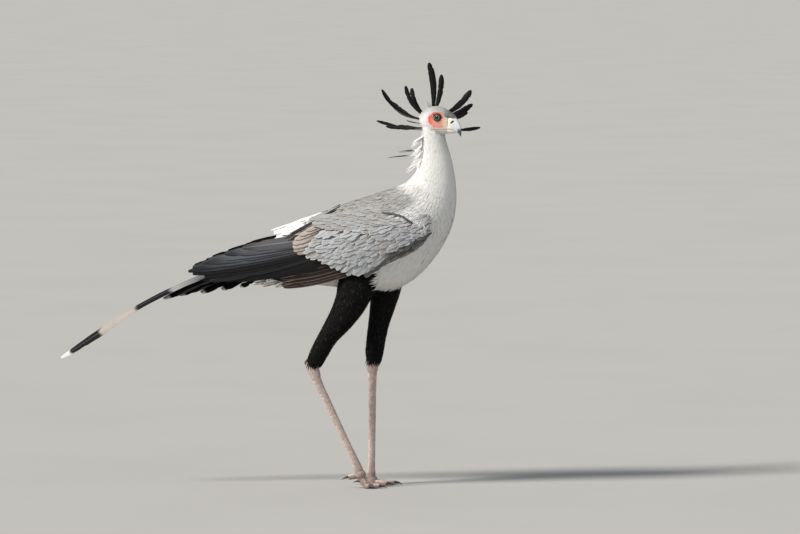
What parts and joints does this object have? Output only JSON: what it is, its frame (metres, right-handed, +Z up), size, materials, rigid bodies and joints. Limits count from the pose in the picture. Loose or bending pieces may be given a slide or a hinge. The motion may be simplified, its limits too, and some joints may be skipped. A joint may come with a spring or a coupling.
{
  "type": "secretary bird",
  "caption": "Life-size walking secretary bird with a fanned crest, folded wings, long tail plumes, dark thighs and long bare shanks, standing by itself on its toes.",
  "frame": {"origin": "middle of the left (standing) foot's sole, on the floor", "axes": "+X the way the bird walks, +Y to its left, +Z up"},
  "size_m": [1.1365, 0.2476, 1.1461],
  "materials": {
    "white_plumage": "matt white feathers, bare orange-red skin round the eye",
    "grey_plumage": "matt pale blue-grey coverts and black flight feathers",
    "tail_plumage": "matt grey and black feathers with pale tips",
    "black_plumage": "matt black short feathers",
    "bill": "satin pale blue-grey horn",
    "eye": "wet gloss",
    "leg_skin": "scaled pinkish-grey skin",
    "claw": "satin dark horn"
  },
  "bodies": {
    "root": {"torso": "white_plumage", "neck": "white_plumage", "head": "white_plumage", "bill_upper": "bill", "bill_lower": "bill", "eye_right": "eye", "eye_left": "eye", "wing_right": "grey_plumage", "wing_left": "grey_plumage", "tail": "tail_plumage", "thigh_right": "black_plumage", "thigh_left": "black_plumage", "shank_right": "leg_skin", "shank_left": "leg_skin", "foot_right": "leg_skin", "foot_left": "leg_skin", "claw_right_inner": "claw", "claw_right_middle": "claw", "claw_right_outer": "claw", "claw_right_hind": "claw", "claw_left_inner": "claw", "claw_left_middle": "claw", "claw_left_outer": "claw", "claw_left_hind": "claw"}
  },
  "joints": []
}
